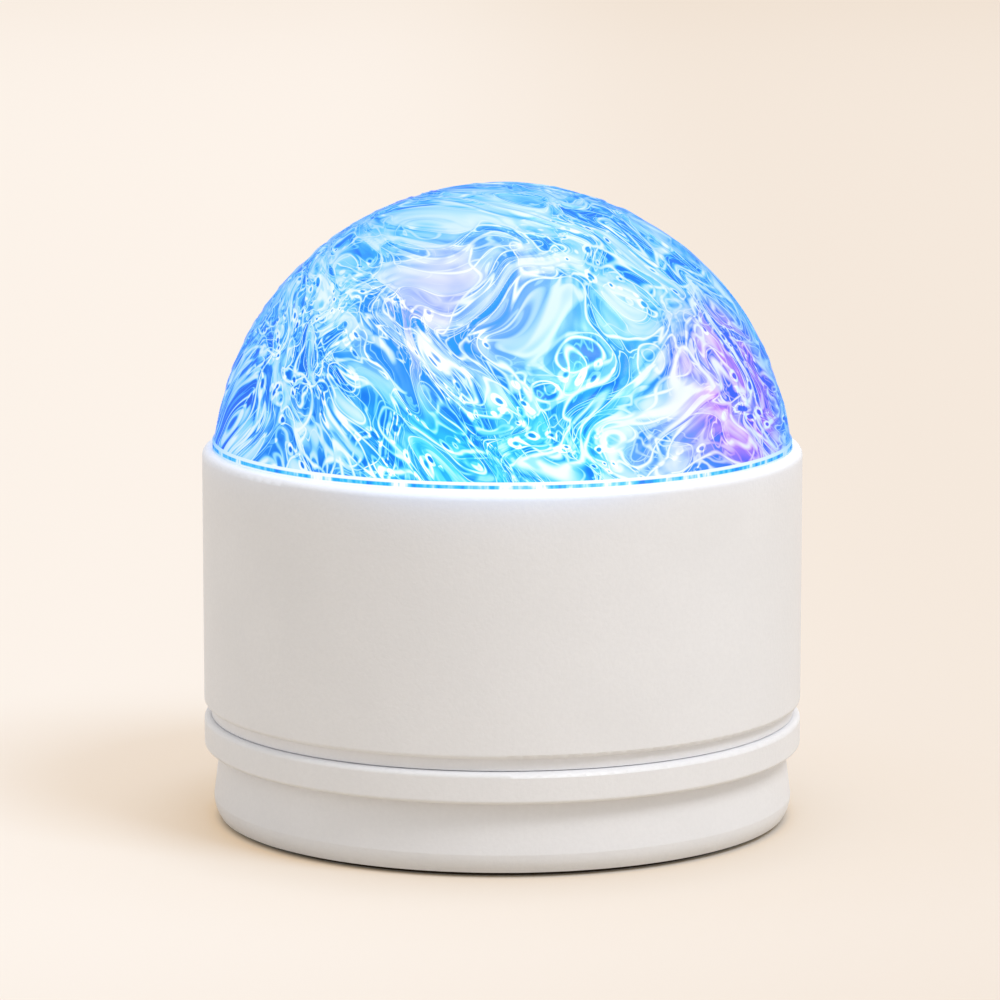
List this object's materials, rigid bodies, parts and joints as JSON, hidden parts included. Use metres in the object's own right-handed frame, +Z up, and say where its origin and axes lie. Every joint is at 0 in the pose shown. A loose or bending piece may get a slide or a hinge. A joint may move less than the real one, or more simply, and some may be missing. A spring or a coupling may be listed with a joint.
{
  "type": "light projector",
  "caption": "Table-top ripple light projector: a white drum under a clear rippled dome, turned by a geared motor on a fixed round pedestal with a rear charging inlet and power button.",
  "frame": {"origin": "centre of the rubber pad's underside, on the table and on the turning axis", "axes": "+Z up along the turning axis, the pictured front faces -Y, the charging inlet faces +Y"},
  "size_m": [0.115, 0.115, 0.1223],
  "materials": {
    "white_shell": "fine spark-eroded grain, off-white",
    "ripple_dome": "clear moulded ripples, lit blue from inside",
    "ripple_lens": "clear, concentric ripples",
    "seal": "soft translucent silicone",
    "pad": "matt black",
    "cover": "fine grain, off-white",
    "reflector": "glossy white",
    "acetal": "natural, waxy",
    "tower": "moulded, off-white",
    "steel": "plated",
    "motor_case": "drawn steel",
    "heat_sink": "as extruded",
    "light_board": "white solder mask",
    "diode": "clear lens on a white package",
    "circuit_board": "green solder mask",
    "component": "moulded black",
    "cell_wrap": "aluminium laminate pouch",
    "foam": "open-cell foam",
    "lead": "flexible sheath",
    "button": "fine grain, off-white"
  },
  "bodies": {
    "head": {"dome": "ripple_dome", "dome_seal": "seal", "dome_screws": "steel", "drum": "white_shell", "reflector_tray": "reflector", "turntable": "white_shell", "turntable_screws": "steel", "hub_bush": "acetal", "thrust_washer": "acetal", "ring_gear": "acetal", "gear_screws": "steel"},
    "pinion": {"drive_pinion": "acetal", "motor_shaft": "steel"},
    "button": {"power_button": "button"},
    "base": {"base_ring": "white_shell", "foot_shell": "white_shell", "bottom_cover": "cover", "rubber_pad": "pad", "base_screws": "steel", "glide_ring": "acetal", "light_tower": "tower", "tower_screws": "steel", "heat_sink": "heat_sink", "led_board": "light_board", "leds": "diode", "ripple_lens": "ripple_lens", "lens_clamp": "tower", "clamp_screws": "steel", "gear_motor": "motor_case", "motor_screws": "steel", "control_board": "circuit_board", "board_components": "component", "board_screws": "steel", "usb_socket": "steel", "tact_switch": "component", "battery": "cell_wrap", "battery_pad": "foam", "led_leads": "lead", "motor_leads": "lead", "battery_leads": "lead"}
  },
  "joints": [
    {"name": "head_turn", "type": "hinge", "parent": "base", "child": "head", "pos_m": [0, 0, 0.0267], "axis": [0, 0, 1], "continuous": true},
    {"name": "pinion_spin", "type": "hinge", "parent": "base", "child": "pinion", "pos_m": [0.032, 0, 0.029], "axis": [0, 0, 1], "continuous": true},
    {"name": "button_press", "type": "slide", "parent": "base", "child": "button", "axis": [-0.342, -0.9397, 0], "range_m": [0, 0.0006], "stiffness_N_per_m": 800, "springref_m": -0.0012}
  ],
  "couplings": [
    {"joint": "pinion_spin", "follows": "head_turn", "ratio": 5}
  ]
}
